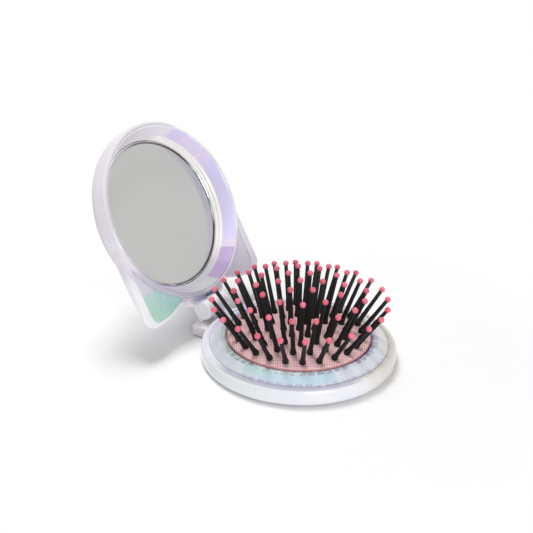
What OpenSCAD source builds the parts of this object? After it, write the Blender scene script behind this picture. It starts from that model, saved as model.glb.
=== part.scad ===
// Folding pocket hairbrush with a mirror in its lid, in millimetres.
// The origin is the centre of the round base on the surface it rests on, +Z is up, the hinge
// axis runs along X on the +Y side. The lid is drawn closed and then swung open, and the cushion
// stands popped up, as when the brush is in use.

/* [Base] */
// Outer diameter of the round base
base_d = 72; // [66:1:80]
// Height of the rounded outer rim above the table
base_h = 7.1; // [6.6:0.1:8.2]
// Thickness of the outer wall
base_wall = 2; // [1.8:0.1:2.4]
// Width of the rim from the outside to the groove
rim_w = 2.6; // [2.4:0.1:3]
// Width of the groove between the rim and the bezel
groove_w = 0.4; // [0.3:0.1:0.6]
// Rounding along the top of the rim
rim_round = 2.2; // [1.6:0.1:2.3]
// Rounding along the bottom of the outer wall
foot_round = 1.5; // [1:0.1:1.6]
// Gap that keeps the outer wall off the table
foot_gap = 0.5; // [0.3:0.1:0.8]
// Depth of the bezel's seat under the rim
seat_drop = 1.5; // [1.2:0.1:2]
// Thickness of the web that carries the bezel
web_t = 1.3; // [1:0.1:1.6]
// Thickness of the bottom cover
cover_t = 1.4; // [1.2:0.1:1.6]
// Diameter of the hole in the cover for the thumb
push_hole_d = 48; // [40:1:49]

/* [Bezel] */
// Height of the bezel's crest above the rim
bezel_rise = 2.3; // [1.8:0.1:3]
// Width of the rounded crest next to the cushion
crest_w = 1.9; // [1.6:0.1:2.2]
// Thickness of the bezel's skin
bezel_t = 1.3; // [1:0.1:1.5]

/* [Cushion] */
// Diameter of the rubber cushion
cushion_d = 52.8; // [48:0.2:54]
// Gap around the cushion
cushion_gap = 0.5; // [0.4:0.1:0.8]
// How far the cushion's edge stands above the bezel's crest
cushion_proud = 0.45; // [0.2:0.05:1]
// Height of the cushion's crown above its edge
cushion_crown = 1.7; // [1:0.1:2.4]
// Thickness of the rubber
rubber_t = 1.7; // [1.3:0.1:1.9]
// Rounding of the cushion's edge
cushion_round = 0.8; // [0.5:0.1:1]
// How far the cushion's side is drawn in
cushion_waist = 0.3; // [0.1:0.1:0.5]
// Width of the cushion's skirt
skirt_w = 1.9; // [1.6:0.1:2.4]

/* [Push plate] */
// How far the cushion sinks into the base
pop_travel = 4; // [3:0.1:4.2]
// Thickness of the plate under the cushion
plate_t = 1.4; // [1.1:0.1:1.5]
// Width of the lip that keeps the plate in the base
lip_w = 1.1; // [0.9:0.1:1.4]
// Sliding gap around the plate
slide_gap = 0.3; // [0.2:0.05:0.4]
// Height of the rings and ribs on top of the plate
plug_h = 1.1; // [0.7:0.1:1.2]
// Diameter of the hollow for the thumb
thumb_d = 26; // [20:1:30]
// Depth of the hollow for the thumb
thumb_depth = 0.7; // [0.4:0.1:0.9]
// Width of each guide key
key_w = 2.6; // [2:0.1:4]

/* [Pins] */
// Rings of pins around the middle one
rings = 4; // [2:1:4]
// Distance from the outer ring of pins to the cushion's edge
pin_margin = 3.8; // [3.4:0.1:5]
// Radius of the ring of outermost tips
tip_spread = 32; // [26:0.5:33]
// Height of the middle tip above the table
pin_top = 31.4; // [26:0.2:33]
// Radius of the dome on which all tips lie
tip_dome = 70; // [60:1:120]
// Angle of the first pin of each ring
pin_turn = 6; // [0:1:15]
// Diameter of a pin near its tip
pin_d = 1.2; // [1:0.05:1.4]
// Diameter of a pin above its foot
pin_root_d = 1.5; // [1.4:0.05:1.7]
// Diameter of a pin's foot on the rubber
foot_d = 2.1; // [1.9:0.1:2.4]
// Diameter of the ball on a pin
ball_d = 2.1; // [1.8:0.1:2.4]

/* [Lid] */
// Angle from the closed lid to the open one
lid_open = 118.7; // [100:0.1:120]
// How much smaller the lid is than the base, all round
lid_inset = 1.6; // [1:0.1:2]
// Gap between the rims when closed
lid_gap = 0.2; // [0.2:0.05:0.5]
// Thickness of the lid's wall
lid_wall = 1.4; // [1.2:0.1:1.6]
// Rounding of the lid's rim
lid_rim_round = 1; // [0.6:0.1:1.2]
// Rounding between the lid's wall and its back
lid_back_round = 5; // [4:0.1:5.4]
// Thickness of the lid's back behind the mirror's edge
lid_back_t = 1.3; // [0.9:0.1:1.6]
// Height of the back's crown
lid_crown = 1.3; // [0.8:0.1:2]

/* [Mirror] */
// Distance from the lid's outside to the edge of the mirror that shows
mirror_in = 6.5; // [6.2:0.1:9.4]
// Depth of the mirror below the lid's rim
mirror_depth = 8; // [7.6:0.1:8.8]
// Thickness of the mirror
mirror_t = 1; // [0.8:0.1:1.4]
// Thickness of the adhesive disc behind the mirror
tape_t = 0.2; // [0.2:0.1:0.5]
// Width of the ring around the mirror
frame_w = 0.9; // [0.8:0.05:1.1]
// Thickness of the sloping liner
liner_t = 1.1; // [0.8:0.1:1.2]

/* [Ears] */
// How far an ear stands out sideways past the lid
ear_out = 0.7; // [0.3:0.1:2]
// How far an ear reaches past the lid towards the hinge
ear_reach = 2.3; // [2:0.1:3.2]
// Rounding of an ear's tip
ear_round = 4.5; // [3:0.1:6]
// How far the ear's face lies behind the lid's rim
ear_drop = 2.4; // [2:0.1:3]
// Thickness of an ear where it leaves the lid
ear_root_t = 3.8; // [3.4:0.1:4.4]
// Thickness of an ear at its tip
ear_tip_t = 1.5; // [1.3:0.1:2.2]
// Width of the raised edge around an ear
ear_edge = 0.9; // [0.7:0.1:1.4]
// Depth of the ear's face below that edge
ear_sink = 0.5; // [0.3:0.1:0.6]
// Half the width of the neck between the ears
neck_half = 10; // [8:0.5:11]

/* [Hinge] */
// Diameter of the hinge barrel
barrel_d = 8; // [7.4:0.1:8.2]
// Length of the hinge barrel
barrel_w = 13; // [11:0.5:16]
// Length of the middle knuckle
knuckle_w = 5; // [4:0.2:6]
// Gap between two knuckles
knuckle_gap = 0.2; // [0.15:0.05:0.4]
// Distance of the hinge axis outside the base
hinge_out = 3.9; // [3.8:0.1:5]
// Height of the hinge axis above the rim
hinge_up = 2.5; // [2:0.1:2.8]
// Diameter of the hinge pin
axle_d = 2; // [1.5:0.1:2.4]
// Wall that closes the barrel's end
barrel_end = 0.9; // [0.7:0.1:1.2]
// Height of the stop heel over the barrel
heel_h = 0.9; // [0.5:0.1:1.1]
// Half the width of the bracket under the barrel
bracket_half = 10; // [8:0.5:12]

/* [Hidden] */
$fn = 96;

// Fits and small gaps
seat_gap = 0.15;     // between pieces that are set into each other
run_gap = 0.05;      // hinge pin in the lid's bores, on the radius
grip_gap = 0.01;     // hinge pin in the base's bore, on the radius
stop_gap = 0.1;      // under the heel and over the plate at the end of their travel
pierce_gap = 0.04;   // pins in the rubber and in their balls
steps = 10;          // straight pieces in each rounded profile
eps = 0.01;          // overlap of shapes that are fused

// Base
base_r = base_d / 2;
seat_z = base_h - seat_drop;
groove_r = base_r - rim_w;
bezel_r = groove_r - groove_w;
crest_z = base_h + bezel_rise;
inner_wall_r = base_r - base_wall;

// Cushion and its carrier
cushion_r = cushion_d / 2;
mouth_r = cushion_r + cushion_gap;
chamber_r = mouth_r + lip_w;
chamber_wall = 1.2;
chamber_out_r = chamber_r + chamber_wall;
cushion_edge_z = crest_z + cushion_proud;
plate_bottom_z = cover_t + stop_gap + pop_travel;
plate_top_z = plate_bottom_z + plate_t;
lip_z = plate_top_z + stop_gap;
plate_r = chamber_r - slide_gap;
boss_r = push_hole_d / 2 - slide_gap;
boss_h = plate_bottom_z - pop_travel - foot_gap / 2;
skirt_in_r = cushion_r - skirt_w;

// Pins
ring_step = 6;
root_pitch = (cushion_r - pin_margin) / rings;
tip_pitch = tip_spread / rings;
foot_h = 0.45;
foot_taper_h = 1.8;
head_h = 0.4;
head_d = 1.9;
spigot_h = 0.7;
spigot_d = 0.8;
bite = 0.1;          // how far a pin's shoulder goes into its ball

// Lid, closed
lid_r = base_r - lid_inset;
rim_z = base_h + lid_gap;
mirror_r = lid_r - mirror_in;
mirror_z = rim_z + mirror_depth;
floor_z = mirror_z + mirror_t + tape_t;
back_edge_z = floor_z + lid_back_t;
back_flat_r = lid_r - lid_back_round;
lid_in_r = lid_r - lid_wall;
frame_r = mirror_r + frame_w;
glass_r = mirror_r + frame_w / 2;
liner_out_r = lid_in_r - seat_gap - 0.1;
liner_in_r = frame_r + seat_gap;
leg_w = liner_t;

// Ears
ear_z = rim_z + ear_drop;
ear_x = lid_r + ear_out;
ear_y = lid_r + ear_reach;
ear_tip_r = norm([ear_x - ear_round, ear_y - ear_round]) + ear_round;

// Hinge
axis_y = base_r + hinge_out;
axis_z = base_h + hinge_up;
barrel_r = barrel_d / 2;
axle_r = axle_d / 2;
bracket_z = axis_z - barrel_r - heel_h - stop_gap;
bracket_y = axis_y + barrel_r / 2;
axle_x0 = -barrel_w / 2 + barrel_end;
axle_x1 = barrel_w / 2 - 2 * barrel_end;
cap_r = axle_r + 0.7;

// Points of a circular arc in a plane
function arc(centre, r, from, to, n = steps) =
  [for (i = [0:n]) let (a = from + (to - from) * i / n) centre + r * [cos(a), sin(a)]];

// Height of the cushion's crown at a distance from its middle
function crown_z(r) = cushion_edge_z + cushion_crown * (1 - pow(r / cushion_r, 2));

// Height of the centre of a ball at a distance from the middle
function ball_z(r) = pin_top - tip_dome + sqrt(pow(tip_dome, 2) - pow(r, 2));

// Root and ball centre of the pins in a ring, as distance from the middle and height
function root_point(k) = [k * root_pitch, crown_z(k * root_pitch)];
function ball_point(k) = [k * tip_pitch, ball_z(k * tip_pitch)];
function pin_length(k) = norm(ball_point(k) - root_point(k));
function pin_tilt(k) = let (d = ball_point(k) - root_point(k)) atan2(d[0], d[1]);
function pin_count(k) = k == 0 ? 1 : ring_step * k;

// Extrudes a profile drawn in Y and Z along the hinge axis, between two places on X
module along_x(x0, x1) {
  translate([x0, 0, 0]) rotate([90, 0, 90]) linear_extrude(x1 - x0) children();
}

// A round bar on the hinge axis, between two places on X
module on_axis(x0, x1, r) {
  along_x(x0, x1) translate([axis_y, axis_z]) circle(r);
}

// Swings what is drawn closed to the open position
module opened() {
  translate([0, axis_y, axis_z]) rotate([-lid_open, 0, 0]) translate([0, -axis_y, -axis_z])
    children();
}

// Places a copy at the root of each pin of a ring, with Z along the pin
module at_pins(k) {
  for (i = [0:pin_count(k) - 1])
    rotate([0, 0, pin_turn + i * 360 / pin_count(k)])
      translate([root_point(k)[0], 0, root_point(k)[1]])
        rotate([0, pin_tilt(k), 0]) children();
}

// Places a copy at each guide key of the push plate
module at_keys() {
  for (a = [90, 210, 330]) rotate([0, 0, a]) children();
}

// Rounded outer wall, web and round chamber for the cushion, with the hinge bracket
module base_shell() {
  chamber_foot_z = cover_t + seat_gap;
  color([0.92, 0.91, 0.95]) difference() {
    union() {
      rotate_extrude() polygon(concat(
        arc([base_r - foot_round, foot_gap + foot_round], foot_round, -90, 0),
        arc([base_r - rim_round, base_h - rim_round], rim_round, 0, 90),
        [
          [groove_r, base_h - 0.1], [groove_r, seat_z],
          [chamber_r, seat_z], [chamber_r, chamber_foot_z],
          [chamber_out_r, chamber_foot_z], [chamber_out_r, seat_z - web_t],
          [inner_wall_r, seat_z - web_t], [inner_wall_r, foot_gap]
        ]));
      along_x(-bracket_half, bracket_half) polygon([
        [inner_wall_r + 0.05, foot_gap], [bracket_y - foot_gap, foot_gap],
        [bracket_y, foot_gap * 2], [bracket_y, bracket_z - foot_gap / 2],
        [bracket_y - foot_gap / 2, bracket_z], [inner_wall_r + 0.05, bracket_z]
      ]);
      on_axis(-knuckle_w / 2, knuckle_w / 2, barrel_r);
      along_x(-knuckle_w / 2, knuckle_w / 2) polygon([
        [base_r + 0.3, bracket_z - eps], [bracket_y, bracket_z - eps],
        [axis_y + barrel_r - 0.1, axis_z], [axis_y - barrel_r + 0.1, axis_z]
      ]);
    }
    on_axis(-knuckle_w, knuckle_w, axle_r + grip_gap);
    at_keys() translate([chamber_r - 1, -key_w / 2 - slide_gap, chamber_foot_z - 1])
      cube([chamber_wall + 1 + eps, key_w + 2 * slide_gap, seat_z - chamber_foot_z + 2]);
  }
}

// Ring that slopes up to the cushion and keeps the push plate in
module base_bezel() {
  crest_r = crest_w / 2;
  slope_r = mouth_r + crest_w;
  color([0.80, 0.86, 0.93]) difference() {
    rotate_extrude() polygon(concat(
      [[bezel_r, seat_z], [bezel_r, base_h - 0.2], [slope_r, crest_z - 0.15]],
      arc([mouth_r + crest_r, crest_z - crest_r], crest_r, 80, 180),
      [
        [mouth_r, lip_z], [chamber_r, lip_z], [chamber_r, seat_z],
        [chamber_r + bezel_t, seat_z], [chamber_r + bezel_t, lip_z + 0.1],
        [bezel_r - bezel_t, seat_z + 0.7], [bezel_r - bezel_t, seat_z]
      ]));
    at_keys() translate([chamber_r - 1, -key_w / 2 - slide_gap, seat_z - 1])
      cube([bezel_t + 1.2, key_w + 2 * slide_gap, lip_z - seat_z + 1 + stop_gap / 2]);
  }
}

// Flat ring that closes the base from below and leaves the plate free to push
module base_cover() {
  cover_r = inner_wall_r - seat_gap;
  hole_r = push_hole_d / 2;
  spigot_in_r = chamber_out_r + seat_gap;
  spigot_top_z = cover_t + 1.2;
  color([0.88, 0.88, 0.92]) difference() {
    rotate_extrude() polygon([
      [hole_r + 0.4, 0], [cover_r - 0.4, 0], [cover_r, 0.4], [cover_r, cover_t],
      [spigot_in_r + 1, cover_t], [spigot_in_r + 1, spigot_top_z],
      [spigot_in_r, spigot_top_z], [spigot_in_r, cover_t], [hole_r, cover_t], [hole_r, 0.4]
    ]);
    for (a = [0:60:300]) rotate([0, 0, a]) translate([spigot_in_r - 1, -2, cover_t + 0.2])
      cube([3, 4, 2]);
  }
}

// Steel pin of the hinge
module hinge_pin() {
  color("silver") on_axis(axle_x0 + stop_gap, axle_x1 - stop_gap, axle_r);
}

// Plate that carries the cushion and is pushed from below
module push_plate() {
  boss_z = plate_bottom_z - boss_h;
  plug_r = skirt_in_r - seat_gap;
  thumb_r = thumb_d / 2;
  thumb_ball_r = (pow(thumb_r, 2) + pow(thumb_depth, 2)) / (2 * thumb_depth);
  color([0.93, 0.93, 0.95]) {
    difference() {
      union() {
        rotate_extrude() polygon([
          [0, boss_z], [boss_r - 0.5, boss_z], [boss_r, boss_z + 0.5], [boss_r, plate_bottom_z],
          [plate_r, plate_bottom_z], [plate_r, plate_top_z], [plug_r, plate_top_z],
          [plug_r, plate_top_z + plug_h], [plug_r - 1.2, plate_top_z + plug_h],
          [plug_r - 1.2, plate_top_z], [0, plate_top_z]
        ]);
        at_keys() translate([plate_r - 1, -key_w / 2, plate_bottom_z])
          cube([1 + chamber_wall, key_w, plate_t - stop_gap]);
        for (a = [0:60:300]) rotate([0, 0, a]) translate([4, -0.5, plate_top_z - eps])
          cube([plug_r - 4.5, 1, plug_h / 2]);
      }
      rotate_extrude() polygon(concat(
        [[0, boss_z - 1], [thumb_r, boss_z - 1]],
        [for (i = [0:steps]) let (r = thumb_r * (1 - i / steps))
          [r, boss_z + thumb_depth - thumb_ball_r + sqrt(pow(thumb_ball_r, 2) - pow(r, 2))]]));
    }
  }
}

// Rubber cushion: a crowned dome on a skirt, pierced by the pins
module cushion_pad() {
  top_r = cushion_r - cushion_round;
  waist_z = (plate_top_z + cushion_edge_z) / 2;
  color([0.80, 0.60, 0.63]) difference() {
    rotate_extrude() polygon(concat(
      [for (i = [0:steps]) let (r = top_r * i / steps) [r, crown_z(r)]],
      [
        [cushion_r - 0.3 * cushion_round, crown_z(top_r) - 0.3 * cushion_round],
        [cushion_r, crown_z(top_r) - cushion_round],
        [cushion_r - cushion_waist, waist_z],
        [cushion_r - cushion_waist, plate_top_z + 0.4],
        [cushion_r, plate_top_z], [skirt_in_r, plate_top_z]
      ],
      [for (i = [0:steps]) let (r = skirt_in_r * (1 - i / steps)) [r, crown_z(r) - rubber_t]]));
    for (k = [0:rings]) at_pins(k)
      translate([0, 0, -rubber_t * 2]) cylinder(d = pin_root_d + 2 * pierce_gap, h = rubber_t * 4);
  }
}

// One pin along Z from the rubber's surface: head below, flared foot, shaft, spigot for the ball.
// Its head and foot stand off the rubber just as far as its tilt needs.
module pin(length, tilt) {
  neck_r = pin_root_d / 2;
  top_z = length - ball_d / 2 + bite;
  foot_z = pierce_gap + foot_d / 2 * tan(tilt);
  head_z = -rubber_t / cos(tilt) - head_d / 2 * tan(tilt) - pierce_gap;
  rotate_extrude($fn = 24) polygon([
    [0, head_z - head_h], [head_d / 2, head_z - head_h], [head_d / 2, head_z],
    [neck_r, head_z], [neck_r, foot_z], [foot_d / 2, foot_z], [foot_d / 2, foot_z + foot_h],
    [neck_r, foot_z + foot_h + foot_taper_h], [pin_d / 2, top_z], [spigot_d / 2, top_z],
    [spigot_d / 2, top_z + spigot_h], [0, top_z + spigot_h]
  ]);
}

// One ring of pins
module pin_ring(k) {
  color([0.10, 0.10, 0.11]) at_pins(k) pin(pin_length(k), pin_tilt(k));
}

// The balls on one ring of pins, each bored for its pin's spigot
module tip_ring(k) {
  socket_z = -ball_d / 2 + bite;
  color([0.93, 0.48, 0.53]) at_pins(k) translate([0, 0, pin_length(k)]) difference() {
    sphere(d = ball_d, $fn = 24);
    translate([0, 0, socket_z + spigot_h + pierce_gap - ball_d])
      cylinder(d = spigot_d + 2 * pierce_gap, h = ball_d, $fn = 24);
    translate([0, 0, socket_z - ball_d]) cylinder(d = ball_d, h = ball_d + pierce_gap / 2);
  }
}

// Height of the back of an ear, closed, at a distance from the middle of the lid
function ear_back_z(r) = ear_z + ear_tip_t +
  (ear_root_t - ear_tip_t) * (pow(ear_tip_r, 2) - pow(r, 2)) / (pow(ear_tip_r, 2) - pow(lid_r, 2));

// Outline of one ear, on the +X side, drawn in by a margin
module ear_outline(margin = 0) {
  lower_x = 0.67 * ear_x;
  root_r = lid_r - margin - 0.3;
  polygon(concat(
    [[lid_r / 3, lid_r / 3], root_r * [cos(10), sin(10)]],
    arc([ear_x - ear_round, ear_y - ear_round], ear_round - margin, 0, 90),
    [[lower_x, ear_y - margin], [neck_half + 2, lid_r - 1 - margin], [neck_half, lid_r - 5]]
  ));
}

// Space under the gently domed back of the ears
module ear_dome() {
  out_r = ear_tip_r + 2;
  rotate_extrude() polygon(concat(
    [[0, ear_z - 1], [out_r, ear_z - 1]],
    [for (i = [0:steps]) let (r = out_r * (1 - i / steps)) [r, ear_back_z(r)]]));
}

// Both ears and the neck between them, with sunk faces inside a raised edge
module ears() {
  ear_top = ear_z + 2 * ear_root_t;
  difference() {
    intersection() {
      translate([0, 0, ear_z]) linear_extrude(ear_top - ear_z) {
        ear_outline();
        mirror([1, 0]) ear_outline();
        translate([-neck_half, lid_r / 2]) square([2 * neck_half, lid_r / 2 + 1.6]);
      }
      ear_dome();
    }
    for (side = [0, 1]) mirror([side, 0, 0]) translate([0, 0, ear_z - 1])
      linear_extrude(1 + ear_sink) ear_outline(ear_edge);
    translate([0, 0, ear_z - 1]) cylinder(r = lid_r - lid_wall / 2, h = ear_top - ear_z);
  }
}

// Wall and domed back of the lid's dish
module lid_dish() {
  dome_r = back_flat_r;
  pocket_r = liner_in_r + leg_w + seat_gap;
  rotate_extrude() polygon(concat(
    [[lid_in_r, rim_z + 0.3], [lid_in_r + 0.2, rim_z]],
    arc([lid_r - lid_rim_round, rim_z + lid_rim_round], lid_rim_round, -90, 0),
    arc([dome_r, back_edge_z - lid_back_round], lid_back_round, 0, 85),
    [for (i = [0:steps]) let (r = (dome_r - 1) * (1 - i / steps))
      [r, back_edge_z + lid_crown * (1 - pow(r / dome_r, 2))]],
    [
      [0, floor_z], [pocket_r, floor_z],
      [lid_in_r, back_edge_z - lid_back_round], [lid_in_r, rim_z + 1]
    ]));
}

// Lid shell: dish, cat ears, neck and the two outer knuckles with their stop heels
module lid_shell() {
  half = barrel_w / 2;
  inner_x = knuckle_w / 2 + knuckle_gap;
  notch_x = inner_x - knuckle_gap / 4;
  heel_r = barrel_r + heel_h;
  color([0.90, 0.87, 0.95]) difference() {
    union() {
      opened() {
        difference() {
          union() {
            lid_dish();
            ears();
            along_x(-half + knuckle_gap, half - knuckle_gap) polygon([
              [lid_in_r + 0.3, ear_z], [axis_y - 3, axis_z - 1], [axis_y, axis_z],
              [axis_y, axis_z + 0.9 * barrel_r], [lid_r + 2, ear_back_z(lid_r + 2) - eps],
              [lid_in_r + 0.3, ear_back_z(lid_r + 2) - eps]
            ]);
          }
          on_axis(-notch_x, notch_x, heel_r);
        }
      }
      for (side = [0, 1]) mirror([side, 0, 0]) {
        on_axis(inner_x, half, barrel_r);
        along_x(inner_x, half) polygon([
          [axis_y, axis_z], [axis_y, axis_z - heel_r], [axis_y + barrel_r / 2, axis_z - heel_r],
          [axis_y + 0.7 * barrel_r, axis_z - 0.4 * barrel_r]
        ]);
      }
    }
    on_axis(axle_x0, half + 1, axle_r + run_gap);
    on_axis(axle_x1, half + 1, cap_r + grip_gap);
  }
}

// Sloping liner between the lid's rim and the mirror
module lid_liner() {
  lip_top_z = rim_z + 0.2;
  toe_z = mirror_z - 0.7;
  color([0.84, 0.80, 0.95]) opened() rotate_extrude() polygon([
    [liner_out_r - 0.25, lip_top_z], [liner_out_r, lip_top_z + 0.25], [liner_out_r, lip_top_z + 2],
    [liner_in_r + leg_w, toe_z + 0.4], [liner_in_r + leg_w, floor_z],
    [liner_in_r, floor_z], [liner_in_r, toe_z]
  ]);
}

// Bright ring that holds the mirror
module mirror_frame() {
  lip_t = 0.5;
  wall_r = glass_r + seat_gap / 2;
  color("silver") opened() rotate_extrude() polygon([
    [mirror_r, mirror_z], [mirror_r + 0.15, mirror_z - lip_t], [frame_r - 0.2, mirror_z - lip_t],
    [frame_r, mirror_z - lip_t + 0.2], [frame_r, floor_z], [wall_r, floor_z], [wall_r, mirror_z]
  ]);
}

// Mirror
module mirror_glass() {
  color([0.76, 0.77, 0.77]) opened() translate([0, 0, mirror_z]) cylinder(r = glass_r, h = mirror_t);
}

// Adhesive disc behind the mirror
module mirror_tape() {
  color([0.3, 0.3, 0.3]) opened() translate([0, 0, mirror_z + mirror_t])
    cylinder(r = glass_r - 1.2, h = tape_t);
}

// Plug that closes the open end of the barrel
module hinge_cap() {
  color([0.93, 0.93, 0.95]) on_axis(axle_x1 + stop_gap, barrel_w / 2, cap_r);
}

base_shell();
base_bezel();
base_cover();
hinge_pin();
push_plate();
cushion_pad();
pin_ring(0);  // pin_centre
pin_ring(1);  // pin_ring_1
pin_ring(2);  // pin_ring_2
pin_ring(3);  // pin_ring_3
pin_ring(4);  // pin_ring_4
tip_ring(0);  // tip_centre
tip_ring(1);  // tip_ring_1
tip_ring(2);  // tip_ring_2
tip_ring(3);  // tip_ring_3
tip_ring(4);  // tip_ring_4
lid_shell();
lid_liner();
mirror_frame();
mirror_glass();
mirror_tape();
hinge_cap();
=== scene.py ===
"""Looks of the folding pocket hairbrush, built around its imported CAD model.

Shapes are made in millimetres in the row frame, +Z up and the hinge on the +Y side, and each mesh
is scaled to metres once, when it is finished. Pieces of the lid are made closed, then swung open.
"""
import logging
import math
from dataclasses import dataclass
from enum import Enum
from typing import Any, Sequence

import bmesh
import bpy
from mathutils import Matrix, Vector, noise


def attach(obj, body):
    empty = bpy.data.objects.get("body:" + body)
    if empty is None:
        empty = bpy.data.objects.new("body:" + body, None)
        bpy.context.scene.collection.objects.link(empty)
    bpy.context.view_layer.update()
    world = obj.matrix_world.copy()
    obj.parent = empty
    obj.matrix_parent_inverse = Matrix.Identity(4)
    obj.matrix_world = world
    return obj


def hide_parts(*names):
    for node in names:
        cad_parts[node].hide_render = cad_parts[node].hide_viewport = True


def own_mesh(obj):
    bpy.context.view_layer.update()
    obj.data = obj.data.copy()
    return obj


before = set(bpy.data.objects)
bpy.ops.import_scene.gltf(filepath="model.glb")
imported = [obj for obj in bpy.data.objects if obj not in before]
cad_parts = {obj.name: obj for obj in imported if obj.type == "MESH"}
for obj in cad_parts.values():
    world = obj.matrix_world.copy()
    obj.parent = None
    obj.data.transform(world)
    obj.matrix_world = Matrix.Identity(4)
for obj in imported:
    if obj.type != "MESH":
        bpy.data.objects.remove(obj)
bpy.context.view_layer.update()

LOG = logging.getLogger("hairbrush")
MM = 0.001

Point = tuple[float, float]
Point3 = tuple[float, float, float]
Rgb = tuple[int, int, int]


def tone(rgb: Rgb) -> tuple[float, float, float, float]:
    """Turns a screen colour into a linear one.

    Args:
        rgb: red, green and blue as seen on a screen, 0 to 255.

    Returns:
        The linear colour that a shader takes, with its alpha.
    """
    shares = [c / 255 for c in rgb]
    linear = [c / 12.92 if c <= 0.04045 else ((c + 0.055) / 1.055) ** 2.4 for c in shares]
    return (*linear, 1.0)


# Places and names that the CAD model gives, and that several pieces share

@dataclass(frozen=True)
class HingeLine:
    """The hinge: its axis along X, how far the lid stands open, and its barrel and pin.

    bore_over is how far a bore is cut past the end of what it goes through.
    """

    y: float = 39.9
    z: float = 9.6
    open_deg: float = 118.7
    barrel_r: float = 4.0
    pin_r: float = 1.0
    bore_sides: int = 32
    bore_over: float = 0.5

    def swing(self) -> Matrix:
        """Matrix that takes a point of the closed lid to the open one, in millimetres."""
        there = Matrix.Translation((0, self.y, self.z))
        return there @ Matrix.Rotation(-math.radians(self.open_deg), 4, "X") @ there.inverted()


HINGE = HingeLine()


class Body(Enum):
    """The bodies that pieces ride on."""

    BASE = "base"
    LID = "lid"
    CUSHION = "cushion"


class Slot(Enum):
    """The record's material slots. piece() takes one but doesn't use it."""

    SHELL = "shell_pearl"
    BEZEL = "bezel_pearl"
    RUBBER = "cushion_rubber"
    NYLON = "pin_nylon"
    PINK = "tip_pink"
    LID = "lid_pearl"
    LINER = "liner_pearl"
    CHROME = "frame_chrome"
    SILVER = "mirror_silver"


class Join(Enum):
    """Ways in which one solid changes another."""

    FUSE = "UNION"
    CUT = "DIFFERENCE"


# Shader maths

class Signal:
    """One output of a node. Arithmetic on it adds Math nodes."""

    def __init__(self, tree: "Tree", socket: bpy.types.NodeSocket) -> None:
        """Wraps an output socket of one of a tree's nodes."""
        self.tree = tree
        self.socket = socket

    def math(self, operation: str, *others: "Signal | float") -> "Signal":
        """Adds one Math node.

        Args:
            operation: the node's operation.
            others: its second and third value, where it has them.

        Returns:
            The node's value.
        """
        return self.tree.node("ShaderNodeMath", {"operation": operation},
                              dict(enumerate((self, *others))))

    def __add__(self, other: "Signal | float") -> "Signal":
        """Sum."""
        return self.math("ADD", other)

    __radd__ = __add__

    def __mul__(self, other: "Signal | float") -> "Signal":
        """Product."""
        return self.math("MULTIPLY", other)

    __rmul__ = __mul__

    def __sub__(self, other: "Signal | float") -> "Signal":
        """Difference."""
        return self.math("SUBTRACT", other)

    def __rsub__(self, other: float) -> "Signal":
        """Difference from a number."""
        return self.tree.node("ShaderNodeMath", {"operation": "SUBTRACT"}, {0: other, 1: self})

    def __truediv__(self, other: "Signal | float") -> "Signal":
        """Quotient."""
        return self.math("DIVIDE", other)

    def rise(self, low: float, high: float) -> "Signal":
        """Smooth step, 0 below low and 1 above high."""
        return self.tree.node("ShaderNodeMapRange", {"interpolation_type": "SMOOTHSTEP"},
                              {"Value": self, "From Min": low, "From Max": high})

    def band(self, low: float, high: float, soft: float) -> "Signal":
        """1 between low and high, with soft edges, and 0 outside."""
        return self.rise(low - soft, low + soft) * (1 - self.rise(high - soft, high + soft))


class Tree:
    """A node tree, to which nodes are added one call at a time."""

    def __init__(self, tree: bpy.types.NodeTree) -> None:
        """Takes a node tree over and empties it."""
        self.tree = tree
        self.tree.nodes.clear()

    def node(self, kind: str, settings: dict[str, Any] | None = None,
             inputs: dict[str | int, Any] | None = None, output: str | int = 0) -> Signal:
        """Adds a node of any type.

        Args:
            kind: the node's type.
            settings: its properties.
            inputs: values or signals of its sockets, by name or number.
            output: the output that is wanted, by name or number.

        Returns:
            That output.
        """
        node = self.tree.nodes.new(kind)
        for key, value in (settings or {}).items():
            setattr(node, key, value)
        for key, value in (inputs or {}).items():
            if isinstance(value, Signal):
                self.tree.links.new(value.socket, node.inputs[key])
            else:
                node.inputs[key].default_value = value
        return Signal(self, node.outputs[output])

    def end(self, kind: str, shader: Signal) -> None:
        """Links a shader to the output node of the tree.

        Args:
            kind: the output node's type.
            shader: what it shows.
        """
        node = self.tree.nodes.new(kind)
        self.tree.links.new(shader.socket, node.inputs["Surface"])

    def watched(self) -> Signal:
        """Tells whether a place is seen or only sends light.

        Returns:
            1 where the camera sees it straight, in a reflection or through glass, otherwise 0.
        """
        seen, gloss, through = (self.node("ShaderNodeLightPath", output=f"Is {ray} Ray")
                                for ray in ("Camera", "Glossy", "Transmission"))
        return seen + gloss + through


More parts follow.
